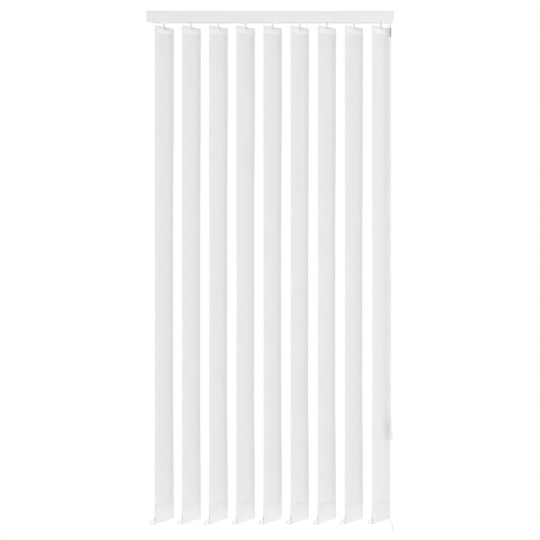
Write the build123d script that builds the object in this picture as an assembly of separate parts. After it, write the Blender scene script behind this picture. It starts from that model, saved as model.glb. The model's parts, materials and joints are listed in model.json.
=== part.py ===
"""A corded vertical blind: nine pocketed cloth vanes under a slotted aluminium headrail.

Millimetres. X runs along the rail, Y points to the wall, +Z is up. The origin is on the wall plane, at the
centre of the four bracket screw holes. Pieces are drawn in the rail's own frame, whose y is measured from the
rail's middle and z from its top, and are then placed in front of the wall.
"""
import math
import os

from build123d import *

# --- driving dimensions -------------------------------------------------------------------------------------
VANES = 9
VANE_WIDTH = 127.0
VANE_PITCH = 116.5
VANE_DROP = 2126.0
VANE_ANGLE = 52.0  # from the rail to the middle vane, seen from above
VANE_FAN = 0.9  # how much further each vane is turned than the next one to its right
FIRST_VANE_X = -454.2
CLOTH = 0.6
RAIL_LENGTH = 1058.0
RAIL_WIDTH = 50.0
RAIL_HEIGHT = 48.0
RAIL_WALL = 1.6
SLOT_HALF = 9.0
WALL_GAP = 80.0  # from the wall to the rail's middle
RAIL_TOP = 14.6  # above the middle of the screw holes
GROOVE_DEPTH, GROOVE_TOP, GROOVE_BOTTOM, SHOULDER_Z = 1.2, -2.0, -5.0, -14.0
STEM_GAP = 18.0  # from the rail's underside to a vane's top edge

# drive
ROD_Y, ROD_Z = -8.9, -17.0
ROD_CORE, ROD_TIP, LOBE_WIDTH, LOBES = 1.9, 2.6, 1.5, 4
RUNNING = 0.08
CARRIER_LENGTH = 22.0
WHEEL_TEETH, WHEEL_ROOT, WHEEL_TIP, WHEEL_HEIGHT = 9, 3.4, 4.9, 8.0
WORM_ROOT, WORM_COLLAR = 3.8, 4.9
STEM_R, PIVOT_R = 3.0, 1.5

# cord and chain
CORD_R = 1.2
CORD_Y, CORD_HIGH_Z, CORD_LOW_Z = 6.5, -10.0, -26.0
CORD_X = (512.6, 519.9)
CORD_BEND = 6.0
CHAIN_R, CHAIN_X = 2.25, 513.0
CHAIN_Y = (-5.8, -0.7)  # front and back strands under the outlet
CHAIN_TURN_Z = -37.0
CHAIN_WHEEL_R = 6.68  # to the middle of the beads
CHAIN_BEND = CHAIN_WHEEL_R - 0.5
OUTLET_Z = -50.0

# hanging pieces
WEIGHT_TOP, WEIGHT_LENGTH = -1752.0, 91.0
JOINER_TOP, JOINER_LENGTH = -68.5, 40.0
CHAIN_BOTTOM = -2229.0

# end fittings
IDLE_PLATE, CONTROL_PLATE = 2.0, 5.0
CONTROL_START = 494.0
CONTROL_TONGUE = 472.0
IDLE_END = -505.0
PULLEY_X, PULLEY_R = -515.0, 8.0

# vane fittings
TOP_POCKET, BOTTOM_POCKET = 34.0, 66.0
HANGER_THICK, WEIGHT_THICK = 1.6, 3.0
EYE_REACH, EYE_HEIGHT, EYE_BAR, EYE_RISE = 32.0, 18.0, 4.4, 6.5

# brackets
BRACKET_X, BRACKET_WIDTH, BRACKET_DROP = 350.0, 30.0, 34.0
SCREW_R, SCREW_SPACING = 2.5, 20.0
STEEL = 2.0
CHANNEL_HALF, LIP_HALF, LIP_THICK, CHANNEL_DEPTH = 11.0, 8.5, 1.2, 3.2  # the rail's top channel

# --- derived ------------------------------------------------------------------------------------------------
HALF_RAIL = RAIL_LENGTH / 2
HALF_WIDTH = RAIL_WIDTH / 2
ROD_REACH = math.hypot(ROD_TIP, LOBE_WIDTH / 2)  # to the corners of its lobes
CORE_Z = -RAIL_HEIGHT
VANE_TOP = -RAIL_HEIGHT - STEM_GAP
VANE_BOTTOM = VANE_TOP - VANE_DROP
VANE_X = [FIRST_VANE_X + VANE_PITCH * i for i in range(VANES)]
IN_ROOM = Location((0, -WALL_GAP, RAIL_TOP))


def save(name, shape, where=IN_ROOM):
    """Write one node, placed in front of the wall."""
    shape = where * shape
    shape.label = name
    export_step(shape, f"parts/{name}.step")


def block(x, y, z):
    """A box from three (low, high) pairs."""
    size = [high - low for low, high in (x, y, z)]
    middle = [(high + low) / 2 for low, high in (x, y, z)]
    return Location(middle) * Box(*size)


def rod_x(x0, x1, y, z, radius):
    """A round bar along X."""
    return Location(((x0 + x1) / 2, y, z), (0, 90, 0)) * Cylinder(radius, x1 - x0)


def rod_y(y0, y1, x, z, radius):
    """A round bar along Y."""
    return Location((x, (y0 + y1) / 2, z), (90, 0, 0)) * Cylinder(radius, y1 - y0)


def rod_z(z0, z1, x, y, radius):
    """An upright round bar."""
    return Location((x, y, (z0 + z1) / 2)) * Cylinder(radius, z1 - z0)


def prism_x(points, x0, x1):
    """A (y, z) outline carried along X."""
    face = make_face(Plane.YZ * Polyline(*points, close=True))
    return Location((x0, 0, 0)) * extrude(face, x1 - x0, dir=(1, 0, 0))


def tube(points, radii, radius):
    """A round tube along straight runs joined by tangent arcs."""
    path = FilletPolyline(*points, radius=radii)
    start = Plane(origin=path @ 0, z_dir=path % 0)
    return sweep(start * Circle(radius), path=path)


def easy_radii(points):
    """The largest easy arc at each corner: 0.45 of its shorter run over the tangent of half its turn."""
    spots = [Vector(*p) for p in points]
    radii = []
    for before, corner, after in zip(spots, spots[1:], spots[2:]):
        run_in, run_out = corner - before, after - corner
        half_turn = math.radians(run_in.get_angle(run_out)) / 2
        radii.append(0.45 * min(run_in.length, run_out.length) / math.tan(half_turn))
    return radii


# --- headrail and its ends ----------------------------------------------------------------------------------
def headrail():
    """The extrusion: a clip channel in its top, a shadow groove in each side, and a slot between two lips."""
    inner = HALF_WIDTH - RAIL_WALL
    rib_top = CORE_Z + 4.0
    half = [
        (CHANNEL_HALF, -CHANNEL_DEPTH),
        (CHANNEL_HALF, -LIP_THICK),
        (LIP_HALF, -LIP_THICK),
        (LIP_HALF, 0),
        (HALF_WIDTH, 0),
        (HALF_WIDTH, GROOVE_TOP),
        (HALF_WIDTH - GROOVE_DEPTH, GROOVE_TOP),
        (HALF_WIDTH - GROOVE_DEPTH, GROOVE_BOTTOM),
        (HALF_WIDTH - 0.5, GROOVE_BOTTOM),
        (HALF_WIDTH, SHOULDER_Z),
        (HALF_WIDTH, CORE_Z),
        (SLOT_HALF, CORE_Z),
        (SLOT_HALF, rib_top),
        (SLOT_HALF + 1.5, rib_top),
        (SLOT_HALF + 1.5, CORE_Z + RAIL_WALL),
        (inner, CORE_Z + RAIL_WALL),
        (inner, GROOVE_BOTTOM - RAIL_WALL),
        (inner - GROOVE_DEPTH, GROOVE_BOTTOM - RAIL_WALL),
        (inner - GROOVE_DEPTH, -RAIL_WALL),
        (CHANNEL_HALF + RAIL_WALL, -RAIL_WALL),
        (CHANNEL_HALF + RAIL_WALL, -CHANNEL_DEPTH - RAIL_WALL),
    ]
    outline = half + [(-y, z) for y, z in reversed(half)]
    return prism_x(outline, -HALF_RAIL + IDLE_PLATE, HALF_RAIL - CONTROL_PLATE)


def end_plate(x0, x1):
    """A moulded plate over the rail's end, with rounded upright corners."""
    plate = block((x0, x1), (-HALF_WIDTH, HALF_WIDTH), (CORE_Z, 0))
    return fillet(plate.edges().filter_by(Axis.X), 1.2)


def plug_block(x0, x1):
    """The part of an end fitting that fills the rail's channel."""
    wide, clear = HALF_WIDTH - RAIL_WALL - 0.2, 0.2
    rib = SLOT_HALF + 1.5 + clear
    ledge = CORE_Z + RAIL_WALL + clear
    half = [(wide, -6.8), (wide, ledge), (rib, ledge), (rib, CORE_Z + 4.2), (SLOT_HALF - clear, CORE_Z + 4.2)]
    half.append((SLOT_HALF - clear, CORE_Z))
    return prism_x(half + [(-y, z) for y, z in reversed(half)], x0, x1)


def cord_points(x, z):
    """A traverse strand from the rail, over its guide and down out of the outlet."""
    return [(CONTROL_START - 4, CORD_Y, z), (x, CORD_Y, z), (x, CORD_Y, OUTLET_Z - 1)]


def chain_run(side):
    """One strand's way from the top of its wheel to the line it hangs on; side is -1 in front, 1 behind."""
    over, edge = ROD_Z + CHAIN_WHEEL_R, ROD_Y + side * CHAIN_WHEEL_R
    hang = CHAIN_Y[0] if side < 0 else CHAIN_Y[1]
    return [
        (CHAIN_X, ROD_Y + side * 0.4, over),
        (CHAIN_X, edge, over),
        (CHAIN_X, edge, ROD_Z - 3.0),
        (CHAIN_X, hang, CHAIN_TURN_Z),
    ]


def control_housing():
    """The control end: bearing for the tilt rod, room for the chain wheel, and guides for cord and chain."""
    inside = HALF_RAIL - CONTROL_PLATE
    body = plug_block(CONTROL_START, inside) + end_plate(inside, HALF_RAIL)
    for side in (-1, 1):
        across = sorted((side * HALF_WIDTH, side * (HALF_WIDTH - GROOVE_DEPTH + 0.05)))
        body += block((CONTROL_TONGUE, inside + 1), across, (GROOVE_BOTTOM + 0.05, GROOVE_TOP - 0.05))
    body += block((CONTROL_START + 4, inside), (-SLOT_HALF + 0.2, SLOT_HALF - 0.2), (OUTLET_Z, CORE_Z + 1))
    body -= rod_x(CHAIN_X - 4.1, CHAIN_X + 4.1, ROD_Y, ROD_Z, 9.7)
    body -= rod_x(CONTROL_START - 1, CHAIN_X + 8, ROD_Y, ROD_Z, ROD_REACH + RUNNING)
    for side, hang in zip((-1, 1), CHAIN_Y):
        route = chain_run(side) + [(CHAIN_X, hang, OUTLET_Z - 1)]
        body -= tube(route, [CHAIN_BEND, 12.0, 12.0], CHAIN_R + 0.4)
    for x, z in ((CORD_X[1], CORD_HIGH_Z), (CORD_X[0], CORD_LOW_Z)):
        body -= tube(cord_points(x, z), [CORD_BEND], CORD_R + 0.3)
    return body


def idle_end_cap():
    """The far end: bearing for the tilt rod and a pin for the cord's return pulley."""
    low = -HALF_RAIL
    body = plug_block(low + IDLE_PLATE, IDLE_END) + end_plate(low, low + IDLE_PLATE)
    middle = (CORD_HIGH_Z + CORD_LOW_Z) / 2
    near, far = CORD_Y - 2.4, CORD_Y + 2.4
    room = rod_y(near, far, PULLEY_X, middle, 10.0)
    room += block((PULLEY_X, IDLE_END + 1), (near, far), (middle - 10, middle + 10))
    body -= room - rod_y(near, far, PULLEY_X, middle, PIVOT_R)
    return body - rod_x(PULLEY_X - 3, IDLE_END + 1, ROD_Y, ROD_Z, ROD_REACH + RUNNING)


def idle_pulley():
    """A grooved wheel on the idle end's pin."""
    middle = (CORD_HIGH_Z + CORD_LOW_Z) / 2
    groove_bed = PULLEY_R - CORD_R - 0.15
    wheel = rod_y(CORD_Y - 2.1, CORD_Y + 2.1, PULLEY_X, middle, groove_bed)
    for low in (CORD_Y - 2.1, CORD_Y + 1.5):
        wheel += rod_y(low, low + 0.6, PULLEY_X, middle, PULLEY_R + 1.2)
    return wheel - rod_y(CORD_Y - 3, CORD_Y + 3, PULLEY_X, middle, PIVOT_R + RUNNING)


# --- tilt drive ---------------------------------------------------------------------------------------------
def lobed_bar(x0, x1, extra):
    """The rod's lobed section, grown by a clearance."""
    bar = rod_x(x0, x1, 0, 0, ROD_CORE + extra)
    reach, half = ROD_TIP + extra, LOBE_WIDTH / 2 + extra
    for i in range(LOBES // 2):
        lobe = block((x0, x1), (-reach, reach), (-half, half))
        bar += Rot(X=i * 360 / LOBES) * lobe
    return Location((0, ROD_Y, ROD_Z)) * bar


def tilt_rod():
    return lobed_bar(PULLEY_X - 2.5, CHAIN_X + 7, 0)


def chain_wheel():
    """A spool for the bead chain, keyed on the rod, with finger notches round its two rims."""
    rim, rim_thick, half_gap, notches = 9.2, 0.9, 2.55, 7
    low, high = CHAIN_X - half_gap - rim_thick, CHAIN_X + half_gap + rim_thick
    wheel = rod_x(low, high, ROD_Y, ROD_Z, CHAIN_WHEEL_R - CHAIN_R - 0.2)
    for x in (low, high - rim_thick):
        wheel += rod_x(x, x + rim_thick, ROD_Y, ROD_Z, rim)
    for i in range(notches):
        turn = 2 * math.pi * i / notches
        y, z = ROD_Y + rim * math.cos(turn), ROD_Z + rim * math.sin(turn)
        wheel -= rod_x(low - 1, high + 1, y, z, 1.2)
    return wheel - lobed_bar(low - 1, high + 1, 0.05)


def worm():
    """The sleeve that slides along the rod and turns a stem; the thread itself is left to the finish."""
    half, collar = CARRIER_LENGTH / 2 - 0.6, 2.0
    body = rod_x(-half, half, ROD_Y, ROD_Z, WORM_ROOT)
    for x in (-half, half - collar):
        body += rod_x(x, x + collar, ROD_Y, ROD_Z, WORM_COLLAR)
    return body - lobed_bar(-half - 1, half + 1, RUNNING)


def gear(teeth, root, tip, thickness):
    """A small moulded gear: a hub with straight-flanked teeth."""
    wheel = Cylinder(root, thickness)
    width_at_root, width_at_tip = 1.9, 1.0
    outline = [
        (root - 0.6, -width_at_root / 2),
        (tip, -width_at_tip / 2),
        (tip, width_at_tip / 2),
        (root - 0.6, width_at_root / 2),
    ]
    tooth = extrude(make_face(Polyline(*outline, close=True)), thickness / 2, both=True)
    for i in range(teeth):
        wheel += Rot(Z=i * 360 / teeth) * tooth
    return wheel


# --- carriers -----------------------------------------------------------------------------------------------
def carrier():
    """The housing that glides on the rail's two ledges and holds a worm and a stem."""
    ledge = CORE_Z + RAIL_WALL + 0.1
    half = CARRIER_LENGTH / 2
    rib_in, rib_out, rib_top = SLOT_HALF - 0.4, SLOT_HALF + 1.9, CORE_Z + 4.4
    shoe, shoe_top, shelf, roof = 22.6, CORE_Z + 9.0, CORE_Z + 15.0, -6.8
    outline = [
        (-shoe, ledge),
        (-rib_out, ledge),
        (-rib_out, rib_top),
        (-rib_in, rib_top),
        (-rib_in, ledge),
        (rib_in, ledge),
        (rib_in, rib_top),
        (rib_out, rib_top),
        (rib_out, ledge),
        (shoe, ledge),
        (shoe, shoe_top),
        (13.0, shoe_top),
        (13.0, shelf),
        (shoe, shelf),
        (shoe, shelf + 1.5),
        (13.0, shelf + 1.5),
        (9.5, roof),
        (-15.5, roof),
        (-15.5, shoe_top),
        (-shoe, shoe_top),
    ]
    body = prism_x(outline, -half, half)
    body -= rod_x(-half - 1, half + 1, ROD_Y, ROD_Z, WORM_COLLAR + RUNNING)
    for z in (CORD_HIGH_Z, CORD_LOW_Z):
        body -= rod_x(-half - 1, half + 1, CORD_Y, z, CORD_R + 0.4)
    wheel_low, wheel_high = ROD_Z - WHEEL_HEIGHT / 2, ROD_Z + WHEEL_HEIGHT / 2
    body -= rod_z(CORE_Z, wheel_low, 0, 0, STEM_R + RUNNING)
    body -= rod_z(wheel_low - 0.1, wheel_high + 0.1, 0, 0, WHEEL_TIP + 0.2)
    return body - rod_z(wheel_high, wheel_high + 3.1, 0, 0, PIVOT_R + RUNNING)


def spacer(number):
    """The strip that keeps the next carrier one pitch away. Each lies on its own level, so all of them nest."""
    level = CORE_Z + 9.3 + 0.65 * number
    strip = block((-8, VANE_PITCH + 9), (14.0, 20.0), (level, level + 0.3))
    return strip + block((-8, -4), (15.0, 19.0), (level, CORE_Z + 15.0))


# --- vanes (drawn flat along X, then turned) ----------------------------------------------------------------
def stem():
    """The turning stem: top pivot, worm wheel, shaft and the forked end with its cross pin."""
    wheel_low = ROD_Z - WHEEL_HEIGHT / 2
    fork_top, fork_bottom, fork_r = CORE_Z - 2.0, VANE_TOP + 1.0, 3.5
    body = Location((0, 0, ROD_Z)) * gear(WHEEL_TEETH, WHEEL_ROOT, WHEEL_TIP, WHEEL_HEIGHT)
    body += rod_z(wheel_low + WHEEL_HEIGHT, wheel_low + WHEEL_HEIGHT + 2.8, 0, 0, PIVOT_R)
    body += rod_z(fork_top - 1, wheel_low, 0, 0, STEM_R)
    body += rod_z(fork_bottom, fork_top, 0, 0, fork_r)
    body -= block((-5, 5), (-1.1, 1.1), (fork_bottom - 1, fork_top - 4.0))
    return body + rod_y(-3.0, 3.0, 0, fork_bottom + 4.0, 1.3)


def hanger():
    """The plate in a vane's top pocket, with a neck that stands out of the notch and an eye for the stem."""
    half, high, low, neck_top = 57.0, VANE_TOP - 3.0, VANE_TOP - 27.0, VANE_TOP + 9.0
    plate = block((-half, half), (-HANGER_THICK / 2, HANGER_THICK / 2), (low, high))
    plate = fillet(plate.edges().filter_by(Axis.Y), 3.0)
    plate += block((-5.0, 5.0), (-HANGER_THICK / 2, HANGER_THICK / 2), (high - 3, neck_top))
    return plate - rod_y(-2, 2, 0, VANE_TOP + 5.0, 1.45)


def bottom_weight():
    """The plate in a vane's hem, with an eye for a spacing chain standing out of the pocket's near end."""
    edge = -VANE_WIDTH / 2
    low, high = VANE_BOTTOM + 1.6, VANE_BOTTOM + 58.0
    half_thick = WEIGHT_THICK / 2
    plate = block((-60.0, 60.0), (-half_thick, half_thick), (low, high))
    plate = fillet(plate.edges().filter_by(Axis.Y), 3.0)
    root, top = edge - 2.0, VANE_BOTTOM + EYE_HEIGHT + EYE_BAR

    def arch(inset):
        """The eye's outline in the plate's plane: a quarter round over a foot that rises to its tip."""
        run = EYE_REACH - 2.0 - inset
        middle = VANE_BOTTOM + EYE_RISE + 0.9 * inset
        corner, heel = (root, middle), (root, VANE_BOTTOM + inset)
        over = EllipticalCenterArc(corner, run, top - inset - middle, start_angle=90, arc_size=90)
        return make_face(Wire([over, Line(over @ 1, heel), Line(heel, over @ 0)]))

    upright = Plane(origin=(0, half_thick, 0), x_dir=(1, 0, 0), z_dir=(0, -1, 0))
    eye = extrude(upright * arch(0), WEIGHT_THICK) - extrude(upright * arch(EYE_BAR), WEIGHT_THICK)
    sides = eye.faces().filter_by(Axis.Y)
    eye = fillet(sides.edges(), 0.7)
    return plate + eye + block((root - 0.5, -58.0), (-half_thick, half_thick), (low + 1.0, top))


def vane_cloth():
    """One strip of cloth with a welded pocket at each end and a notch for the hanger's neck."""

    def pocket(fold, seam, half):
        """The outline round a pocket from its fold to its seam, half as wide as given."""
        out = math.copysign(1, seam - fold)
        return [
            (CLOTH / 2, seam),
            (half, seam - 5 * out),
            (half, fold + 1.2 * out),
            (half - 0.9, fold),
            (-half + 0.9, fold),
            (-half, fold + 1.2 * out),
            (-half, seam - 5 * out),
            (-CLOTH / 2, seam),
        ]

    def hollow(fold, seam, half):
        out = math.copysign(1, seam - fold)
        return [
            (0.0, seam - 2.5 * out),
            (half, seam - 5.5 * out),
            (half, fold + 1.2 * out),
            (half - 0.5, fold + CLOTH * out),
            (-half + 0.5, fold + CLOTH * out),
            (-half, fold + 1.2 * out),
            (-half, seam - 5.5 * out),
        ]

    top_seam, bottom_seam = VANE_TOP - TOP_POCKET, VANE_BOTTOM + BOTTOM_POCKET
    top_half, bottom_half = HANGER_THICK / 2 + 0.3, WEIGHT_THICK / 2 + 0.3
    outline = pocket(VANE_TOP, top_seam, top_half + CLOTH)
    outline += list(reversed(pocket(VANE_BOTTOM, bottom_seam, bottom_half + CLOTH)))
    outline = list(reversed(outline[:8])) + [(y, z) for y, z in reversed(outline[8:])]
    half_width = VANE_WIDTH / 2
    strip = prism_x(outline, -half_width, half_width)
    strip -= prism_x(hollow(VANE_TOP, top_seam, top_half), -half_width - 1, half_width + 1)
    strip -= prism_x(hollow(VANE_BOTTOM, bottom_seam, bottom_half), -half_width - 1, half_width + 1)
    return strip - block((-6.0, 6.0), (-4, 4), (VANE_TOP - 9.0, VANE_TOP + 1))


# --- cord, chain and what hangs on them ---------------------------------------------------------------------
def rail_cord():
    """The traverse cord inside the rail: round the return pulley and out over both guides."""
    points = [
        (CORD_X[1], CORD_Y, OUTLET_Z),
        (CORD_X[1], CORD_Y, CORD_HIGH_Z),
        (PULLEY_X - PULLEY_R, CORD_Y, CORD_HIGH_Z),
        (PULLEY_X - PULLEY_R, CORD_Y, CORD_LOW_Z),
        (CORD_X[0], CORD_Y, CORD_LOW_Z),
        (CORD_X[0], CORD_Y, OUTLET_Z),
    ]
    around = PULLEY_R - 0.02
    return tube(points, [CORD_BEND, around, around, CORD_BEND], CORD_R)


def hanging_cord_points():
    """Down the first strand, closer together into the weight, round the bend inside it and up the second."""
    first, second = CORD_X
    nip, bend = 0.6, WEIGHT_TOP - 52.0
    down = [(first, OUTLET_Z), (first, WEIGHT_TOP + 15), (first + nip, WEIGHT_TOP - 25), (first + nip, bend)]
    up = [(second - nip, bend), (second - nip, WEIGHT_TOP - 25), (second, WEIGHT_TOP + 15), (second, OUTLET_Z)]
    return [(x, CORD_Y, z) for x, z in down + up]


def hanging_cord(radius=CORD_R):
    points = hanging_cord_points()
    radii = easy_radii(points)
    print("hanging cord radii", [round(r, 1) for r in radii])
    return tube(points, radii, radius)


def control_chain_points():
    """The bead chain's route: over its wheel, down through the outlet, and round a loose end below the vanes."""
    middle = sum(CHAIN_Y) / 2
    straight = (CHAIN_Y[1] - CHAIN_Y[0]) / 2
    # sideways swing, half gap between the strands, height over the loop's bottom
    loose = [(0, straight, 72), (2.5, 3.0, 52), (8.0, 6.0, 36), (12.5, 13.0, 23), (14.5, 15.0, 10), (14.5, 6.2, 0)]
    front, back = chain_run(-1), chain_run(1)
    for swing, half_gap, up in loose:
        front.append((CHAIN_X + swing, middle - half_gap, CHAIN_BOTTOM + up))
        back.append((CHAIN_X + swing, middle + half_gap, CHAIN_BOTTOM + up))
    return front + back[::-1]


def control_chain():
    points = control_chain_points()
    radii = easy_radii(points)
    for wheel_corner in (0, -1):
        radii[wheel_corner] = CHAIN_BEND
    for outlet_corner in (1, 2, -2, -3):
        radii[outlet_corner] = 12.0
    print("control chain radii", [round(r, 1) for r in radii])
    return tube(points, radii, CHAIN_R)


def cord_weight():
    """A weight that flares towards its foot; the cord turns round inside it."""
    x = sum(CORD_X) / 2
    # share of the length, half width, half depth
    levels = [(0, 5.4, 3.2), (0.03, 6.9, 3.9), (0.4, 9.2, 4.3), (0.85, 12.4, 4.5), (0.96, 12.6, 4.4), (1, 10.8, 3.4)]
    rings = [Location((x, CORD_Y, WEIGHT_TOP - WEIGHT_LENGTH * share)) * Ellipse(wide, deep)
             for share, wide, deep in levels]
    body = loft(rings, ruled=True)
    return body - hanging_cord(CORD_R + 0.15)


def cord_joiner():
    """A flattened clasp, ridged like a bead, that keeps the two strands side by side under the outlet."""
    x, wide, deep = sum(CORD_X) / 2, 6.1, 3.2
    middle = JOINER_TOP - JOINER_LENGTH / 2
    body = Location((x, CORD_Y, middle)) * extrude(Ellipse(wide - 0.7, deep - 0.6), JOINER_LENGTH / 2, both=True)
    ridge = JOINER_LENGTH / 4
    for i in range(3):
        z = JOINER_TOP - ridge * (i + 1)
        rings = [Location((x, CORD_Y, z + up)) * Ellipse(wide - cut, deep - cut * 0.7)
                 for up, cut in ((4.4, 1.0), (2.6, 0.0), (-2.6, 0.0), (-4.4, 1.0))]
        body += loft(rings, ruled=True)
    for strand in CORD_X:
        body -= rod_z(JOINER_TOP - JOINER_LENGTH - 3, JOINER_TOP + 3, strand, CORD_Y, CORD_R + 0.1)
    return body


# --- wall fixing --------------------------------------------------------------------------------------------
def wall_bracket(x):
    """A folded steel angle: upright plate with two screw holes, and an arm over the rail."""
    half, arm = BRACKET_WIDTH / 2, BRACKET_DROP / 2
    plate = block((x - half, x + half), (-STEEL, 0), (-arm, arm))
    plate += block((x - half, x + half), (-WALL_GAP - LIP_HALF, 0), (arm - STEEL, arm))
    for z in (-SCREW_SPACING / 2, SCREW_SPACING / 2):
        plate -= rod_y(-STEEL - 1, 1, x, z, SCREW_R)
    return plate


def rail_clip(x):
    """The clip under a bracket's arm: its wings hold the rail by the lips of the top channel."""
    half, neck, wing = 8.0, LIP_HALF - 0.5, CHANNEL_HALF - 0.3
    arm_underside = BRACKET_DROP / 2 - STEEL - RAIL_TOP
    clip = block((x - half, x + half), (-wing, wing), (-CHANNEL_DEPTH + 0.4, -LIP_THICK))
    return clip + block((x - half, x + half), (-neck, neck), (-LIP_THICK - 0.5, arm_underside))


def main():
    os.makedirs("parts", exist_ok=True)
    save("headrail", headrail())
    save("control_housing", control_housing())
    save("idle_end_cap", idle_end_cap())
    save("idle_pulley", idle_pulley())
    save("tilt_rod", tilt_rod())
    save("chain_wheel", chain_wheel())
    save("rail_cord", rail_cord())
    save("hanging_cord", hanging_cord())
    save("control_chain", control_chain())
    save("cord_weight", cord_weight())
    save("cord_joiner", cord_joiner())
    save("wall_brackets", Compound([wall_bracket(-BRACKET_X), wall_bracket(BRACKET_X)]), Location())
    save("rail_clips", Compound([rail_clip(-BRACKET_X), rail_clip(BRACKET_X)]))
    worm_piece, housing = worm(), carrier()
    stem_piece, inserts, cloth = stem(), Compound([hanger(), bottom_weight()]), vane_cloth()
    for i, x in enumerate(VANE_X):
        number = i + 1
        along = IN_ROOM * Location((x, 0, 0))
        turned = along * Rot(Z=VANE_ANGLE + VANE_FAN * ((VANES - 1) / 2 - i))
        pieces = [housing, spacer(i)] if number < VANES else [housing]
        save(f"carrier_{number}", Compound(pieces), along)
        save(f"worm_{number}", worm_piece, along)
        save(f"stem_{number}", stem_piece, turned)
        save(f"vane_inserts_{number}", inserts, turned)
        save(f"vane_{number}", cloth, turned)


main()
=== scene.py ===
import json
import math

import bmesh
import bpy
from mathutils import Matrix, Vector, noise


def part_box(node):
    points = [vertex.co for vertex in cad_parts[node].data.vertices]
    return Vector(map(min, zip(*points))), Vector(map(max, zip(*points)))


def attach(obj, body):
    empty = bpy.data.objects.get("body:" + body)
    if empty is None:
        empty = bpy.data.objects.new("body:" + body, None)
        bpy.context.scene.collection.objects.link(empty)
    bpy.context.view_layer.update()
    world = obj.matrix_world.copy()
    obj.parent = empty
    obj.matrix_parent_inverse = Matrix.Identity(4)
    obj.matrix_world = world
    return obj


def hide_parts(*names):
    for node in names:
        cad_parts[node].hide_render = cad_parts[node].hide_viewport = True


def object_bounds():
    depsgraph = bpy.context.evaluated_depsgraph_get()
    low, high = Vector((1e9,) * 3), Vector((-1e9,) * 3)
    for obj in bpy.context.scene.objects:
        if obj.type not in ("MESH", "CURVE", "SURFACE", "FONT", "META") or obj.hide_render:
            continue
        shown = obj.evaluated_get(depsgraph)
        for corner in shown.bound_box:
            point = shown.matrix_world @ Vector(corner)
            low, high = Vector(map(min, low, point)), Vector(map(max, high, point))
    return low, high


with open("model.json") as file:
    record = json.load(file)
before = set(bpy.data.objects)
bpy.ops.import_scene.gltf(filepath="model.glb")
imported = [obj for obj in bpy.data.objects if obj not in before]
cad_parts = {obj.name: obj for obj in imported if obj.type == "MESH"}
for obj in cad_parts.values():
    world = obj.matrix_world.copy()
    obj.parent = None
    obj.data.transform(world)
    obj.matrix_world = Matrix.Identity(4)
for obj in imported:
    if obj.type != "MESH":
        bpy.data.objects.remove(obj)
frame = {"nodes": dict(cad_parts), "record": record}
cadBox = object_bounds()
for name in ("Cube", "Light", "Camera"):
    if name in bpy.data.objects:
        bpy.data.objects.remove(bpy.data.objects[name])
nodes = frame["nodes"]
bodyOf = {node: body for body, members in frame["record"]["behaviour"]["bodies"].items() for node in members}
print("frame loaded:", len(nodes), "nodes")

# where the rail sits: its middle, and the height of its top
railLow, railHigh = (Vector(corner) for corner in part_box("headrail"))
rail = {"y": (railLow.y + railHigh.y) / 2, "top": railHigh.z}
vaneCount = len([name for name in nodes if name.startswith("stem_")])


# ---- shared helpers
def deselectAll():
    if bpy.context.object and bpy.context.object.mode != "OBJECT":
        bpy.ops.object.mode_set(mode="OBJECT")
    bpy.ops.object.select_all(action="DESELECT")


def makeActive(piece):
    deselectAll()
    piece.select_set(True)
    bpy.context.view_layer.objects.active = piece


def applyAll(piece):
    makeActive(piece)
    for modifier in list(piece.modifiers):
        bpy.ops.object.modifier_apply(modifier=modifier.name)


def wear(piece, material):
    piece.data.materials.clear()
    piece.data.materials.append(material)


def middleOf(node):
    low, high = (Vector(corner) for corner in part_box(node))
    return (low + high) / 2


# ---- the cloth's measures in metres
cloth = {
    "width": 0.127,
    "thick": 0.0005,
    "topPocket": 0.031,
    "bottomPocket": 0.084,
    "topGap": 0.00115,  # from the middle of the vane to a pocket's wall
    "bottomGap": 0.00185,
    "flap": 0.003,  # cloth beyond the weld
    "weldRows": (0.0012, 0.004),  # rows close beside a weld
    "closing": 0.16,  # share of a pocket over which its walls come together
    "boxThick": 0.0048,  # of the whole vane at its bottom pocket
    "notchHalf": 0.006,
    "notchDeep": 0.009,
    "columns": 24,
    "pinchFrom": 0.0597,  # the walls of a pocket close up beyond this
    "pinchMiddle": 0.0618,
    "pinch": 0.8,
    "eyeHeight": 0.0255,  # below this the near end stays open for the eye
    "hanger": (0.0535, 0.0045, 0.0255),  # half width of the hanger's print, its top and its foot below the fold
    "print": 0.0018,
    # where each edge of the print starts, outside or above it, and how wide it is
    "printSides": (0.004, 0.006),
    "printTop": (0.004, 0.004),
    "printFoot": (0.001, 0.0035),
    "showThrough": 0.5,
    # size of each unevenness, its waves across and down the cloth, and its own layer of the noise
    "sway": (0.0011, 4, 2.1, 0),
    "pucker": (0.00055, 55, 70, 2.0),
    "crease": (0.0003, 30, 45, 5.0),
    "twist": 0.035,  # of the plain stretch against its two ends, in radians
    "cup": 0.0022,  # how far its long edges curl
    "step": 0.033,  # between rows of the plain stretch
}


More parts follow.
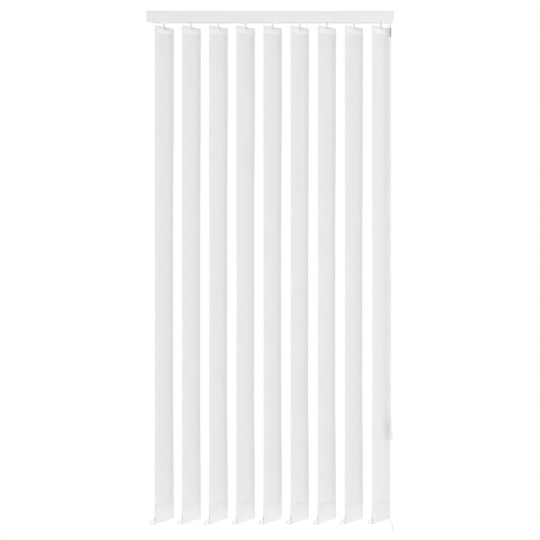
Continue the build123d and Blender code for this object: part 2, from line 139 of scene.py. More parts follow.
# ---- shader building blocks
class Graph:
    # a short way to add and join nodes in one material or group
    def __init__(self, tree):
        self.tree = tree

    def add(self, kind, **settings):
        node = self.tree.nodes.new(kind)
        for key, value in settings.items():
            setattr(node, key, value)
        return node

    def put(self, socket, value):
        if isinstance(value, bpy.types.NodeSocket):
            self.tree.links.new(value, socket)
        else:
            socket.default_value = value

    def math(self, operation, first, second=0.0, clamp=False):
        node = self.add("ShaderNodeMath", operation=operation, use_clamp=clamp)
        self.put(node.inputs[0], first)
        self.put(node.inputs[1], second)
        return node.outputs[0]

    def remap(self, value, low, high, outLow=0.0, outHigh=1.0):
        node = self.add("ShaderNodeMapRange")
        for socket, given in zip(node.inputs[:5], (value, low, high, outLow, outHigh)):
            self.put(socket, given)
        return node.outputs[0]

    def noise(self, vector, scale, detail=2.0, rough=0.5):
        node = self.add("ShaderNodeTexNoise")
        self.put(node.inputs["Vector"], vector)
        self.put(node.inputs["Scale"], scale)
        self.put(node.inputs["Detail"], detail)
        self.put(node.inputs["Roughness"], rough)
        return node.outputs["Fac"]

    def stretch(self, vector, scale):
        node = self.add("ShaderNodeVectorMath", operation="MULTIPLY")
        self.put(node.inputs[0], vector)
        node.inputs[1].default_value = scale
        return node.outputs[0]

    def mix(self, factor, first, second):
        node = self.add("ShaderNodeMix", data_type="RGBA")
        self.put(node.inputs[0], factor)
        self.put(node.inputs[6], first)
        self.put(node.inputs[7], second)
        return node.outputs[2]

    def bump(self, height, distance, strength=1.0, normal=None):
        node = self.add("ShaderNodeBump")
        self.put(node.inputs["Height"], height)
        self.put(node.inputs["Distance"], distance)
        self.put(node.inputs["Strength"], strength)
        if normal is not None:
            self.put(node.inputs["Normal"], normal)
        return node.outputs[0]


def newGroup(name, inputs, outputs):
    group = bpy.data.node_groups.new(name, "ShaderNodeTree")
    for direction, sockets in (("INPUT", inputs), ("OUTPUT", outputs)):
        for label, kind, value in sockets:
            socket = group.interface.new_socket(name=label, in_out=direction, socket_type=kind)
            if value is not None:
                socket.default_value = value
    graph = Graph(group)
    return group, graph, graph.add("NodeGroupInput"), graph.add("NodeGroupOutput")


def finishVariation():
    # broad mottling and fine grain that coated metal and moulded plastic both show
    group, graph, given, result = newGroup(
        "finishVariation",
        [
            ("Vector", "NodeSocketVector", None),
            ("Colour", "NodeSocketColor", (0.8, 0.8, 0.8, 1)),
            ("Mottle", "NodeSocketFloat", 0.03),
            ("Grain Scale", "NodeSocketFloat", 1500.0),
            ("Roughness", "NodeSocketFloat", 0.4),
            ("Roughness Spread", "NodeSocketFloat", 0.08),
        ],
        [
            ("Colour", "NodeSocketColor", None),
            ("Roughness", "NodeSocketFloat", None),
            ("Height", "NodeSocketFloat", None),
        ],
    )
    broad = graph.noise(given.outputs["Vector"], 9.0, 4.0)
    grain = graph.noise(given.outputs["Vector"], given.outputs["Grain Scale"], 2.0, 0.6)
    scuff = graph.noise(graph.stretch(given.outputs["Vector"], (1.0, 1.0, 0.25)), 120.0, 6.0, 0.7)
    darker = graph.mix(graph.math("MULTIPLY", broad, given.outputs["Mottle"]), given.outputs["Colour"], (0, 0, 0, 1))
    graph.put(result.inputs["Colour"], darker)
    lift = graph.math("MULTIPLY", graph.math("SUBTRACT", scuff, 0.5), given.outputs["Roughness Spread"])
    graph.put(result.inputs["Roughness"], graph.math("ADD", given.outputs["Roughness"], lift, clamp=True))
    graph.put(result.inputs["Height"], graph.math("ADD", grain, graph.math("MULTIPLY", scuff, 0.3)))
    return group


def crossedThreads():
    # threads that pass over and under each other; U and V are counted in threads
    group, graph, given, result = newGroup(
        "crossedThreads",
        [("U", "NodeSocketFloat", 0.0), ("V", "NodeSocketFloat", 0.0)],
        [("Height", "NodeSocketFloat", None), ("Gap", "NodeSocketFloat", None)],
    )
    across = graph.math("SINE", graph.math("MULTIPLY", given.outputs["U"], math.pi))
    along = graph.math("SINE", graph.math("MULTIPLY", given.outputs["V"], math.pi))
    over = graph.math("GREATER_THAN", graph.math("MULTIPLY", across, along), 0.0)
    first, second = graph.math("ABSOLUTE", across), graph.math("ABSOLUTE", along)
    height = graph.add("ShaderNodeMix", data_type="FLOAT")
    graph.put(height.inputs[0], over)
    graph.put(height.inputs[2], first)
    graph.put(height.inputs[3], second)
    # how far into a gap between threads; the materials use it to paint shade there
    gap = graph.math("SUBTRACT", 1.0, graph.math("MAXIMUM", first, second))
    graph.put(result.inputs["Height"], height.outputs[0])
    graph.put(result.inputs["Gap"], graph.remap(gap, 0.25, 0.85))
    return group


variationGroup = finishVariation()
threadGroup = crossedThreads()


def newMaterial(name):
    material = bpy.data.materials.new(name)
    material.use_nodes = True
    graph = Graph(material.node_tree)
    shader = next(node for node in material.node_tree.nodes if node.type == "BSDF_PRINCIPLED")
    return material, graph, shader


def placeGroup(graph, group, **values):
    node = graph.add("ShaderNodeGroup", node_tree=group)
    for label, value in values.items():
        graph.put(node.inputs[label.replace("_", " ")], value)
    return node


def objectPoint(graph):
    return graph.add("ShaderNodeTexCoord").outputs["Object"]


def hardFinish(name, colour, rough, spread, grainScale, grainDepth, mottle, coat=0.0, soft=0.0):
    # coated metal or moulded plastic, from one set of values
    material, graph, shader = newMaterial(name)
    varied = placeGroup(
        graph,
        variationGroup,
        Vector=objectPoint(graph),
        Colour=(*colour, 1),
        Mottle=mottle,
        Grain_Scale=grainScale,
        Roughness=rough,
        Roughness_Spread=spread,
    )
    graph.put(shader.inputs["Base Color"], varied.outputs["Colour"])
    graph.put(shader.inputs["Roughness"], varied.outputs["Roughness"])
    graph.put(shader.inputs["Normal"], graph.bump(varied.outputs["Height"], grainDepth, 0.5))
    shader.inputs["Coat Weight"].default_value = coat
    shader.inputs["Coat Roughness"].default_value = 0.25
    if soft:
        shader.inputs["Subsurface Weight"].default_value = soft
        shader.inputs["Subsurface Scale"].default_value = 0.002
    return material


def drawnMetal():
    # bare extruded bar: fine lines along its length
    values = {"colour": (0.72, 0.73, 0.74, 1), "dark": (0.52, 0.53, 0.55, 1), "lines": (30.0, 2600.0, 2600.0)}
    material, graph, shader = newMaterial("drawnAluminium")
    lines = graph.noise(graph.stretch(objectPoint(graph), values["lines"]), 1.0, 5.0, 0.65)
    graph.put(shader.inputs["Base Color"], graph.mix(lines, values["colour"], values["dark"]))
    graph.put(shader.inputs["Roughness"], graph.remap(lines, 0.3, 0.7, 0.28, 0.46))
    graph.put(shader.inputs["Normal"], graph.bump(lines, 0.00004, 0.6))
    shader.inputs["Metallic"].default_value = 1.0
    return material


def vaneFabric():
    # plain-weave polyester; u and v of the cloth's own map are metres across and along the strip
    values = {
        "colour": (0.80, 0.80, 0.80, 1),
        # darker tone that paints shade into the gaps between threads and into the weld's dimples, and also gives
        # slubs, mottling and heat-cut edges their darker tone
        "valley": (0.60, 0.60, 0.60, 1),
        "backed": (0.88, 0.88, 0.88, 1),  # where the white hanger shows through
        "warpPitch": 0.00042,
        "weftPitch": 0.00055,
        "wander": 0.00035,  # how far the threads stray
        "slubAcross": (28.0, 900.0, 1.0),
        "slubAlong": (1300.0, 16.0, 1.0),
        "weldPitch": 0.0026,
        "pressed": (0.0008, 0.0015),  # a weld is flat up to here, and gone from here on
        "half": cloth["width"] / 2,
        "edge": 0.0009,
    }
    material, graph, shader = newMaterial("vaneFabric")
    place = graph.add("ShaderNodeUVMap", uv_map="cloth").outputs[0]
    split = graph.add("ShaderNodeSeparateXYZ")
    graph.put(split.inputs[0], place)
    u, v = split.outputs[0], split.outputs[1]
    wander = graph.math("MULTIPLY", graph.noise(place, 40.0, 3.0), values["wander"])
    warp = graph.math("DIVIDE", graph.math("ADD", u, wander), values["warpPitch"])
    weft = graph.math("DIVIDE", graph.math("ADD", v, wander), values["weftPitch"])
    weave = placeGroup(graph, threadGroup, U=warp, V=weft)
    slubAcross = graph.noise(graph.stretch(place, values["slubAcross"]), 1.0, 3.0, 0.6)
    slubAlong = graph.noise(graph.stretch(place, values["slubAlong"]), 1.0, 3.0, 0.6)
    slub = graph.math("ADD", graph.math("MULTIPLY", slubAcross, 0.6), graph.math("MULTIPLY", slubAlong, 0.4))
    broad = graph.noise(place, 5.0, 3.0)
    # the gaps between threads are painted darker, as shade between them
    toned = graph.mix(graph.math("MULTIPLY", weave.outputs["Gap"], 0.35), values["colour"], values["valley"])
    toned = graph.mix(graph.remap(slub, 0.42, 0.68, 0.0, 0.16), toned, values["valley"])
    toned = graph.mix(graph.remap(broad, 0.35, 0.7, 0.0, 0.05), toned, values["valley"])
    backed = graph.add("ShaderNodeAttribute", attribute_name="backed").outputs["Fac"]
    toned = graph.mix(backed, toned, values["backed"])
    # welded seams: a pressed line with a row of dimples
    away = graph.math("ABSOLUTE", graph.add("ShaderNodeAttribute", attribute_name="weld").outputs["Fac"])
    pressed = graph.remap(away, *values["pressed"], 1.0, 0.0)
    beat = graph.math("SINE", graph.math("DIVIDE", graph.math("MULTIPLY", u, 2 * math.pi), values["weldPitch"]))
    dimple = graph.math("MULTIPLY", pressed, graph.remap(beat, -0.3, 0.5))
    # heat-cut long edges are a little flatter and shinier
    side = graph.math("ABSOLUTE", graph.math("SUBTRACT", u, values["half"]))
    sealed = graph.remap(side, values["half"] - values["edge"], values["half"] - values["edge"] * 0.5)
    # the weld's dimples are painted darker, as shade in their hollows, and the heat-cut edges get a darker tone
    toned = graph.mix(graph.math("MULTIPLY", graph.math("MAXIMUM", dimple, sealed), 0.15), toned, values["valley"])
    graph.put(shader.inputs["Base Color"], toned)
    graph.put(shader.inputs["Roughness"], graph.remap(graph.math("MAXIMUM", dimple, sealed), 0, 1, 0.86, 0.55))
    relief = graph.math("MULTIPLY", weave.outputs["Height"], graph.math("SUBTRACT", 1.0, pressed))
    relief = graph.math("ADD", relief, graph.math("MULTIPLY", slub, 0.8))
    fine = graph.bump(relief, 0.00012, 0.45)
    graph.put(shader.inputs["Normal"], graph.bump(graph.math("SUBTRACT", 0.0, dimple), 0.0004, 0.7, fine))
    shader.inputs["Sheen Weight"].default_value = 0.18
    shader.inputs["Sheen Roughness"].default_value = 0.45
    shader.inputs["Specular IOR Level"].default_value = 0.3
    return material


# the darker tone paints shade into the gaps between a braid's strands
braidTones = {"colour": (0.80, 0.80, 0.79, 1), "valley": (0.52, 0.52, 0.51, 1)}


def dressBraid(graph, shader, braid, strength):
    # the gaps between strands are painted darker, as shade between them
    graph.put(shader.inputs["Base Color"], graph.mix(braid.outputs["Gap"], braidTones["colour"], braidTones["valley"]))
    graph.put(shader.inputs["Roughness"], graph.remap(braid.outputs["Height"], 0, 1, 0.8, 0.6))
    graph.put(shader.inputs["Normal"], graph.bump(braid.outputs["Height"], 0.0002, strength))


def cordBraid():
    # eight-strand braid; the curve's own map runs along it and once round
    values = {"along": 1060.0, "round": 8.0}
    material, graph, shader = newMaterial("cordBraid")
    split = graph.add("ShaderNodeSeparateXYZ")
    graph.put(split.inputs[0], graph.add("ShaderNodeUVMap", uv_map="braid").outputs[0])
    run = graph.math("MULTIPLY", split.outputs[0], values["along"])
    turn = graph.math("MULTIPLY", split.outputs[1], values["round"])
    braid = placeGroup(graph, threadGroup, U=graph.math("ADD", run, turn), V=graph.math("SUBTRACT", run, turn))
    dressBraid(graph, shader, braid, 0.7)
    shader.inputs["Sheen Weight"].default_value = 0.2
    return material


def railCordBraid():
    # the stretch hidden in the rail, woven by place alone
    perMetre = 1100.0
    material, graph, shader = newMaterial("railCordBraid")
    split = graph.add("ShaderNodeSeparateXYZ")
    graph.put(split.inputs[0], graph.stretch(objectPoint(graph), (perMetre, perMetre, perMetre)))
    run, rise = split.outputs[0], graph.math("ADD", split.outputs[1], split.outputs[2])
    braid = placeGroup(graph, threadGroup, U=graph.math("ADD", run, rise), V=graph.math("SUBTRACT", run, rise))
    dressBraid(graph, shader, braid, 0.6)
    return material


finishes = {
    "rail_aluminium": hardFinish("powderCoat", (0.78, 0.78, 0.78), 0.38, 0.12, 2600.0, 0.00003, 0.03, coat=0.15),
    "moulding": hardFinish("whiteMoulding", (0.79, 0.79, 0.785), 0.42, 0.14, 3200.0, 0.00004, 0.04),
    "clear_moulding": hardFinish("milkyAcetal", (0.88, 0.88, 0.87), 0.3, 0.1, 2400.0, 0.00003, 0.05, soft=0.25),
    "insert_moulding": hardFinish("insertPlastic", (0.80, 0.80, 0.79), 0.4, 0.12, 2800.0, 0.00004, 0.04),
    "weight_moulding": hardFinish("glossMoulding", (0.80, 0.80, 0.79), 0.24, 0.1, 2000.0, 0.00002, 0.03, coat=0.2),
    "joiner": hardFinish("greyClasp", (0.36, 0.36, 0.37), 0.4, 0.15, 2800.0, 0.00004, 0.1),
    "bead_chain": hardFinish("beadPlastic", (0.80, 0.80, 0.79), 0.28, 0.1, 2200.0, 0.00002, 0.03, soft=0.1),
    "bracket_steel": hardFinish("bracketPaint", (0.78, 0.78, 0.78), 0.36, 0.16, 1900.0, 0.00005, 0.05, coat=0.1),
    "rod_aluminium": drawnMetal(),
    "vane_cloth": vaneFabric(),
    "cord": railCordBraid(),
}
hangingBraid = cordBraid()
print("finishes made:", len(bpy.data.materials))


# ---- moulded and metal pieces keep their CAD shape; round ones get joined, smoothed copies
slotOf = {entry["node"]: entry["material_slot"] for entry in frame["record"]["subparts"]}
smoothed = {"prefixes": ("stem", "vane_inserts", "carrier", "chain_wheel", "idle_pulley", "cord_weight", "cord_joiner",
                         "control_housing", "idle_end_cap", "rail_cord", "tilt_rod", "worm"), "angle": 32}


def smoothCopy(node):
    words = node.split("_")
    name = words[0] + "".join(word.capitalize() for word in words[1:]) + "Finished"
    copy = bpy.data.objects.new(name, nodes[node].data.copy())
    bpy.context.scene.collection.objects.link(copy)
    makeActive(copy)
    bpy.ops.object.mode_set(mode="EDIT")
    bpy.ops.mesh.select_all(action="SELECT")
    bpy.ops.mesh.remove_doubles(threshold=0.000005)
    bpy.ops.object.mode_set(mode="OBJECT")
    bpy.ops.object.shade_smooth_by_angle(angle=math.radians(smoothed["angle"]))
    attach(copy, bodyOf[node])
    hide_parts(node)
    return copy


for node, piece in list(nodes.items()):
    if node.startswith(smoothed["prefixes"]):
        piece = smoothCopy(node)
    if not node.startswith("vane_") or node.startswith("vane_inserts"):
        wear(piece, finishes[slotOf[node]])
print("CAD pieces dressed")


# ---- vane cloth
def easeIn(share):
    share = min(1.0, max(0.0, share))
    return share * share * (3 - 2 * share)


def vaneRows(top, bottom):
    # (offset from the middle, height, length of cloth so far, signed distance to the nearest weld)
    fold = cloth["thick"] / 2
    close, near = cloth["weldRows"]
    topSeam, bottomSeam = top - cloth["topPocket"], bottom + cloth["bottomPocket"]
    path = []

    def pocket(edge, seam, gap, outward):
        # from the flap's end, round the fold and back to the seam on the other side
        inward = -outward
        depth = abs(seam - edge)
        shares = (0.04, 0.09, 0.16, 0.26, 0.4, 0.55, 0.735, 0.85, 0.95)
        rows = [(fold * 2.1, seam + inward * cloth["flap"]), (fold * 2.0, seam + inward * close), (fold * 1.5, seam)]
        for share in shares:
            rise = min(1.0, share / cloth["closing"])
            rows.append((fold + (gap - fold) * math.sin(rise * math.pi / 2), seam + outward * depth * share))
        start = edge + inward * (gap + fold)
        for i in range(7):
            turn = math.pi * i / 6
            rows.append((gap * math.cos(turn), start + outward * gap * math.sin(turn)))
        for share in shares[::-1]:
            rise = min(1.0, share / cloth["closing"])
            rows.append((-gap * math.sin(rise * math.pi / 2), seam + outward * depth * share))
        return rows

    path += pocket(top, topSeam, cloth["topGap"], 1)
    path += [(0.0, topSeam), (0.0, topSeam - close), (0.0, topSeam - near)]
    count = round((topSeam - bottomSeam) / cloth["step"])
    for i in range(1, count):
        path.append((0.0, topSeam + (bottomSeam - topSeam) * i / count))
    path += [(0.0, bottomSeam + near), (0.0, bottomSeam + close), (0.0, bottomSeam)]
    path += pocket(bottom, bottomSeam, cloth["bottomGap"], -1)[::-1]
    rows, length = [], 0.0
    for i, (offset, height) in enumerate(path):
        if i:
            length += math.dist(path[i - 1], path[i])
        weld = min(height - topSeam, height - bottomSeam, key=abs)
        rows.append((offset, height, length, weld))
    return rows


def hangerPrint(x, fromTop):
    # how far the hanger pushes the top pocket's wall out, as a share
    softness = (cloth["printSides"], cloth["printTop"], cloth["printFoot"])
    edges = zip((abs(x), fromTop, fromTop), cloth["hanger"], softness)
    beside, below, past = (easeIn((place - edge + lead) / wide) for place, edge, (lead, wide) in edges)
    return (1.0 - beside) * below * (1.0 - past)


def uneven(kind, x, height, seed):
    size, across, down, layer = cloth[kind]
    return noise.noise(Vector((x * across, height * down, layer)) + seed) * size


def makeVane(number):
    # one hanging sheet with thickness, drawn flat and then turned to its CAD solid's angle
    name = f"vane_{number}"
    low, high = (Vector(corner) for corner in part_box(name))
    size, thick, width = high - low, cloth["boxThick"], cloth["width"]
    turn = math.atan2(width * size.y - thick * size.x, width * size.x - thick * size.y)
    middle = (low + high) / 2
    rows = vaneRows(high.z, low.z)
    half, columns = width / 2, cloth["columns"]
    extra = (cloth["notchHalf"], cloth["pinchFrom"], cloth["pinchMiddle"])
    xs = {-half + width * i / columns for i in range(columns + 1)} | {side * x for side in (-1, 1) for x in extra}
    xs = sorted(xs)
    xs = [x for i, x in enumerate(xs) if i == 0 or x - xs[i - 1] > 0.0008]
    shape = bmesh.new()
    uvLayer = shape.loops.layers.uv.new("cloth")
    weldLayer = shape.verts.layers.float.new("weld")
    backedLayer = shape.verts.layers.float.new("backed")
    grid = []
    seed = Vector((number * 3.7, number * 1.3, 0))
    for offset, height, length, weld in rows:
        line = []
        fromTop, fromBottom = high.z - height, height - low.z
        inPocket = fromTop < cloth["topPocket"] or fromBottom < cloth["bottomPocket"]
        slack = easeIn((fromTop - 0.25) / 0.8) * easeIn((fromBottom - 0.08) / 0.5)
        twist = cloth["twist"] * slack
        for x in xs:
            # slow lean and ripple of the hanging strip, and small puckers at the welds and over the hanger
            sway = uneven("sway", x, height, seed)
            sway *= min(1.0, max(0.0, (fromTop - 0.05) / 0.2), max(0.0, (fromBottom - 0.07) / 0.2))
            pucker = uneven("pucker", x, height, seed) * math.exp(-abs(weld) / 0.012)
            crease = uneven("crease", x, height, seed) if inPocket else 0.0
            past = min(1.0, max(0.0, (abs(x) - cloth["pinchFrom"]) / (half - cloth["pinchFrom"])))
            held = x < 0 and fromBottom < cloth["eyeHeight"]
            y = offset * (1.0 if held else 1.0 - cloth["pinch"] * past)
            y += math.copysign(cloth["print"] * hangerPrint(x, fromTop), offset)
            y += sway + pucker * (0.4 if offset > 0 else 1.0) + crease * min(1.0, fromTop / 0.004)
            y += cloth["cup"] * slack * ((x / half) ** 2 - 0.4) + x * math.sin(twist)
            vert = shape.verts.new((x * math.cos(twist), y, height))
            vert[weldLayer] = weld
            vert[backedLayer] = hangerPrint(x, fromTop) * cloth["showThrough"]
            line.append(vert)
        grid.append((line, length))
    for (upper, upperLength), (lower, lowerLength) in zip(grid, grid[1:]):
        for i in range(len(xs) - 1):
            lowest = min(upper[i].co.z, lower[i].co.z)
            middleX = (xs[i] + xs[i + 1]) / 2
            if abs(middleX) < cloth["notchHalf"] and lowest > high.z - cloth["notchDeep"] - 0.0002:
                continue
            face = shape.faces.new((upper[i], upper[i + 1], lower[i + 1], lower[i]))
            face.smooth = True
            spots = ((xs[i], upperLength), (xs[i + 1], upperLength), (xs[i + 1], lowerLength), (xs[i], lowerLength))
            for loop, (u, v) in zip(face.loops, spots):
                loop[uvLayer].uv = (u + half, v)
    bmesh.ops.delete(shape, geom=[vert for vert in shape.verts if not vert.link_faces], context="VERTS")
    shape.transform(Matrix.Translation((middle.x, middle.y, 0)) @ Matrix.Rotation(turn, 4, "Z"))
    mesh = bpy.data.meshes.new(f"vaneCloth{number}")
    shape.to_mesh(mesh)
    shape.free()
    piece = bpy.data.objects.new(f"vaneCloth{number}", mesh)
    bpy.context.scene.collection.objects.link(piece)
    wear(piece, finishes["vane_cloth"])
    solid = piece.modifiers.new("thickness", "SOLIDIFY")
    solid.thickness = cloth["thick"]
    solid.offset = 0
    applyAll(piece)
    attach(piece, bodyOf[name])
    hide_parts(name)


for number in range(1, vaneCount + 1):
    makeVane(number)
print("vanes hung:", vaneCount)


# ---- bead chain and cord
def railPoint(x, y, z):
    # from the rail's own millimetres to the room's metres
    return Vector((x / 1000, rail["y"] + y / 1000, rail["top"] + z / 1000))


def splineObject(name, points, thickness=0.0, resolution=24):
    curve = bpy.data.curves.new(name, "CURVE")
    curve.dimensions = "3D"
    curve.resolution_u = resolution
    spline = curve.splines.new("NURBS")
    spline.points.add(len(points) - 1)
    for spot, point in zip(spline.points, points):
        spot.co = (*point, 1)
    spline.order_u = 3
    spline.use_endpoint_u = True
    curve.bevel_depth = thickness / 2
    curve.bevel_resolution = 3
    piece = bpy.data.objects.new(name, curve)
    bpy.context.scene.collection.objects.link(piece)
    return piece


def pathAlong(points):
    # the spline's own line, as evenly laid places can be read from it
    guide = splineObject("guide", points)
    mesh = bpy.data.meshes.new_from_object(guide)
    line = [vert.co.copy() for vert in mesh.vertices]
    bpy.data.objects.remove(guide)
    bpy.data.meshes.remove(mesh)
    return line


def evenly(line, pitch, start=0.0):
    # (place, direction) every pitch along a line
    spots, due, done = [], start, 0.0
    for first, second in zip(line, line[1:]):
        step = (second - first).length
        while step > 0 and due <= done + step:
            spots.append((first.lerp(second, (due - done) / step), (second - first).normalized()))
            due += pitch
        done += step
    return spots


chain = {
    "x": 513.0,
    "front": -5.8,
    "back": -0.7,
    "bead": 0.0045,
    "pitch": 0.006,
    "thread": 0.0011,
    "wheel": (-8.9, -17.0, 6.68),  # middle of the wheel, and its radius to the beads
    "outlet": -50.0,
    "inside": -46.0,  # where the loop's own piece starts
    "join": 3.0,  # from there to the piece on the wheel
    "turn": -37.0,
    "bottom": -2229.0,
    # sideways swing, half gap between the strands, height over the loop's bottom
    "loose": [(0, 2.55, 72), (2.5, 3.0, 52), (8.0, 6.0, 36), (12.5, 13.0, 23), (14.5, 15.0, 10), (14.5, 6.2, 0)],
}


def chainLoopPoints():
    middle = (chain["front"] + chain["back"]) / 2
    front = [railPoint(chain["x"], chain["front"], chain["inside"])]
    back = [railPoint(chain["x"], chain["back"], chain["inside"])]
    for swing, halfGap, up in chain["loose"]:
        front.append(railPoint(chain["x"] + swing, middle - halfGap, chain["bottom"] + up))
        back.append(railPoint(chain["x"] + swing, middle + halfGap, chain["bottom"] + up))
    return front + back[::-1]


def chainWheelPoints():
    y, z, radius = chain["wheel"]
    reach = radius * 1.01
    points = [railPoint(chain["x"], chain["front"], chain["inside"] + chain["join"])]
    points.append(railPoint(chain["x"], chain["front"] - 1.5, chain["turn"]))
    for i in range(9):
        turn = math.pi * (1.06 - 1.12 * i / 8)
        points.append(railPoint(chain["x"], y + reach * math.cos(turn), z + reach * math.sin(turn)))
    points.append(railPoint(chain["x"], chain["back"] + 0.6, chain["turn"]))
    points.append(railPoint(chain["x"], chain["back"], chain["inside"] + chain["join"]))
    return points


def beadModel():
    # one bead, a little shorter along the thread
    deselectAll()
    bpy.ops.mesh.primitive_uv_sphere_add(segments=8, ring_count=6, radius=chain["bead"] / 2)
    bead = bpy.context.object
    bpy.ops.object.mode_set(mode="EDIT")
    bpy.ops.mesh.select_all(action="SELECT")
    bpy.ops.transform.resize(value=(1.0, 1.0, 0.97))
    bpy.ops.object.mode_set(mode="OBJECT")
    return bead


def chainMesh(name, points):
    line = pathAlong(points)
    bead = beadModel()
    joined = bmesh.new()
    for place, direction in evenly(line, chain["pitch"], chain["pitch"] / 2):
        before = len(joined.verts)
        joined.from_mesh(bead.data)
        joined.verts.ensure_lookup_table()
        turned = direction.to_track_quat("Z", "Y").to_matrix().to_4x4()
        bmesh.ops.transform(joined, matrix=Matrix.Translation(place) @ turned, verts=joined.verts[before:])
    for face in joined.faces:
        face.smooth = True
    thread = splineObject("thread", points, chain["thread"], 12)
    thread.data.bevel_resolution = 1
    threadMesh = bpy.data.meshes.new_from_object(thread)
    joined.from_mesh(threadMesh)
    mesh = bpy.data.meshes.new(name)
    joined.to_mesh(mesh)
    joined.free()
    bpy.data.objects.remove(thread)
    bpy.data.objects.remove(bead)
    piece = bpy.data.objects.new(name, mesh)
    bpy.context.scene.collection.objects.link(piece)
    wear(piece, finishes["bead_chain"])
    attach(piece, "root")
    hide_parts("control_chain")
    return piece, line


chainLoop, chainLine = chainMesh("chainLoop", chainLoopPoints())
chainMesh("chainOnWheel", chainWheelPoints())

cord = {
    "thick": 0.0024,
    # (x, y, z) down the first strand, round the weight's inner bend and up the second
    "route": [
        (512.6, 6.5, -50.0),
        (512.6, 6.5, -1737.0),
        (513.2, 6.5, -1777.0),
        (513.2, 6.5, -1804.0),
        (519.3, 6.5, -1804.0),
        (519.3, 6.5, -1777.0),
        (519.9, 6.5, -1737.0),
        (519.9, 6.5, -50.0),
    ],
}


def tubeAlong(name, line, thick, sides=12):
    # a tube whose map runs along it in metres and once round it
    rings, done = [], 0.0
    shape = bmesh.new()
    mapLayer = shape.loops.layers.uv.new("braid")
    side = (line[1] - line[0]).orthogonal().normalized()
    for i, spot in enumerate(line):
        ahead, behind = line[min(i + 1, len(line) - 1)], line[max(i - 1, 0)]
        direction = (ahead - behind).normalized()
        side = (side - direction * side.dot(direction)).normalized()
        other = direction.cross(side)
        done += (spot - behind).length if i else 0.0
        ring = []
        for k in range(sides):
            turn = 2 * math.pi * k / sides
            ring.append(shape.verts.new(spot + (side * math.cos(turn) + other * math.sin(turn)) * thick / 2))
        rings.append((ring, done))
    for (first, start), (second, end) in zip(rings, rings[1:]):
        for k in range(sides):
            after = (k + 1) % sides
            face = shape.faces.new((first[k], first[after], second[after], second[k]))
            face.smooth = True
            spots = ((start, k), (start, k + 1), (end, k + 1), (end, k))
            for loop, (u, v) in zip(face.loops, spots):
                loop[mapLayer].uv = (u, v / sides)
    shape.faces.new(rings[0][0][::-1])
    shape.faces.new(rings[-1][0])
    mesh = bpy.data.meshes.new(name)
    shape.to_mesh(mesh)
    shape.free()
    piece = bpy.data.objects.new(name, mesh)
    bpy.context.scene.collection.objects.link(piece)
    return piece


def makeCord():
    points = [railPoint(*point) for point in cord["route"]]
    line = pathAlong(points)
    line = [spot for i, spot in enumerate(line) if i == 0 or (spot - line[i - 1]).length > 0.00005]
    piece = tubeAlong("hangingCord", line, cord["thick"])
    wear(piece, hangingBraid)
    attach(piece, "root")
    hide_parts("hanging_cord")


makeCord()
print("cord and chain hung")


# ---- worm threads
worm = {"root": 0.0037, "rootHalf": 0.0008, "crest": 0.0047, "crestHalf": 0.00035, "pitch": 0.0031, "start": -0.0078,
        "turns": 5.0}


def makeWormThread(number):
    centre = middleOf(f"worm_{number}")
    deselectAll()
    bpy.ops.mesh.primitive_plane_add(size=0.001, location=(0, 0, 0))
    piece = bpy.context.object
    piece.name = f"wormThread{number}"
    bpy.ops.object.mode_set(mode="EDIT")
    bpy.ops.mesh.select_all(action="SELECT")
    bpy.ops.mesh.delete(type="ONLY_FACE")
    bpy.ops.object.mode_set(mode="OBJECT")
    outline = [(worm["root"], 0, -worm["rootHalf"]), (worm["crest"], 0, -worm["crestHalf"]),
               (worm["crest"], 0, worm["crestHalf"]), (worm["root"], 0, worm["rootHalf"])]
    for vert, place in zip((piece.data.vertices[i] for i in (0, 1, 3, 2)), outline):
        vert.co = place
    screw = piece.modifiers.new("thread", "SCREW")
    screw.angle = 2 * math.pi * worm["turns"]
    screw.screw_offset = worm["pitch"] * worm["turns"]
    screw.steps = screw.render_steps = int(24 * worm["turns"])
    screw.axis = "Z"
    applyAll(piece)
    bpy.ops.object.mode_set(mode="EDIT")
    bpy.ops.mesh.select_all(action="DESELECT")
    bpy.ops.mesh.select_non_manifold()
    bpy.ops.mesh.edge_face_add()
    bpy.ops.mesh.select_all(action="SELECT")
    bpy.ops.mesh.normals_make_consistent(inside=False)
    bpy.ops.object.mode_set(mode="OBJECT")
    lay = Matrix.Translation(centre + Vector((worm["start"], 0, 0))) @ Matrix.Rotation(math.pi / 2, 4, "Y")
    piece.data.transform(lay)
    bpy.ops.object.shade_smooth_by_angle(angle=math.radians(35))
    wear(piece, finishes["clear_moulding"])
    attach(piece, bodyOf[f"worm_{number}"])


for number in range(1, vaneCount + 1):
    makeWormThread(number)
print("worm threads cut")


# ---- stage, light and camera
studio = {
    "floorGap": 0.08,
    "backGap": 12.0,
    "paperSize": 40.0,
    "paperHeight": 16.0,
    "paperBend": 3.0,
    "sensor": 36,
    "distance": 5.4,
    "spanAtRail": 2.322,  # width that the frame shows at the rail's distance
    "eye": -0.8104,  # height of eye level
    "frameMiddle": -1.0961,
    "bounce": 0.56,  # what the paper gives the blind, and what the camera sees of it
    "paper": 1.0,
    "world": 0.59,
    "aim": (0, 0, -1.1),
    # name, place, side of the square panel, watts
    "lights": [("softKey", (3.3, -9.1, -0.4), 5.0, 155), ("edgeLight", (5.8, -8.2, -0.6), 0.3, 39)],
}


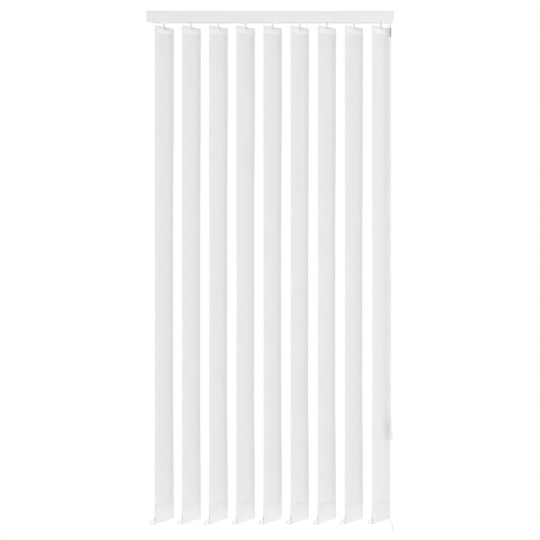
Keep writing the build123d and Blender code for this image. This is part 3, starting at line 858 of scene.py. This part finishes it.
def makeStage():
    low = cadBox[0]
    deselectAll()
    bpy.ops.mesh.primitive_plane_add(size=1)
    floor = bpy.context.object
    floor.name = "studioSweep"
    bpy.ops.object.mode_set(mode="EDIT")
    bpy.ops.mesh.select_all(action="SELECT")
    side = studio["paperSize"]
    bpy.ops.transform.resize(value=(side, side, 1))
    bpy.ops.transform.translate(value=(0, studio["backGap"] - side / 2, low[2] - studio["floorGap"]))
    bpy.ops.mesh.select_all(action="DESELECT")
    bpy.ops.object.mode_set(mode="OBJECT")
    for edge in floor.data.edges:
        edge.select = all(floor.data.vertices[i].co.y > studio["backGap"] - 0.1 for i in edge.vertices)
    bpy.ops.object.mode_set(mode="EDIT")
    bpy.ops.mesh.select_mode(type="EDGE")
    bpy.ops.mesh.extrude_region_move(TRANSFORM_OT_translate={"value": (0, 0, studio["paperHeight"])})
    bpy.ops.object.mode_set(mode="OBJECT")
    for edge in floor.data.edges:
        ends = [floor.data.vertices[i].co for i in edge.vertices]
        edge.select = all(end.y > studio["backGap"] - 0.1 and end.z < low[2] for end in ends)
    bpy.ops.object.mode_set(mode="EDIT")
    bpy.ops.mesh.bevel(offset=studio["paperBend"], segments=16)
    bpy.ops.object.mode_set(mode="OBJECT")
    bpy.ops.object.shade_smooth()
    material, graph, shader = newMaterial("studioPaper")
    # the camera sees an even white; everything else sees paper that also glows a little
    seen = graph.add("ShaderNodeLightPath").outputs["Is Camera Ray"]
    graph.put(shader.inputs["Base Color"], graph.mix(seen, (0.95, 0.95, 0.95, 1), (0, 0, 0, 1)))
    shader.inputs["Roughness"].default_value = 0.9
    shader.inputs["Specular IOR Level"].default_value = 0.0
    shader.inputs["Emission Color"].default_value = (1, 1, 1, 1)
    graph.put(shader.inputs["Emission Strength"], graph.remap(seen, 0, 1, studio["bounce"], studio["paper"]))
    wear(floor, material)


def makeLight(name, place, side, watts):
    light = bpy.data.lights.new(name, "AREA")
    light.shape = "RECTANGLE"
    light.size = light.size_y = side
    light.energy = watts
    lamp = bpy.data.objects.new(name, light)
    bpy.context.scene.collection.objects.link(lamp)
    lamp.location = place
    lamp.rotation_euler = (Vector(studio["aim"]) - Vector(place)).to_track_quat("-Z", "Y").to_euler()


def makeCamera():
    data = bpy.data.cameras.new("camera")
    camera = bpy.data.objects.new("camera", data)
    bpy.context.scene.collection.objects.link(camera)
    data.sensor_width = studio["sensor"]
    data.lens = studio["sensor"] * studio["distance"] / studio["spanAtRail"]
    data.shift_y = (studio["frameMiddle"] - studio["eye"]) / studio["spanAtRail"]
    camera.location = (0, rail["y"] - studio["distance"], studio["eye"])
    camera.rotation_euler = (math.pi / 2, 0, 0)
    data.clip_end = 100
    bpy.context.scene.camera = camera


makeStage()
world = bpy.data.worlds.new("studioWorld")
bpy.context.scene.world = world
world.use_nodes = True
world.node_tree.nodes["Background"].inputs["Color"].default_value = (1, 1, 1, 1)
world.node_tree.nodes["Background"].inputs["Strength"].default_value = studio["world"]
for lamp in studio["lights"]:
    makeLight(*lamp)
bpy.context.scene.view_settings.view_transform = "Standard"
makeCamera()

print("scene ready")
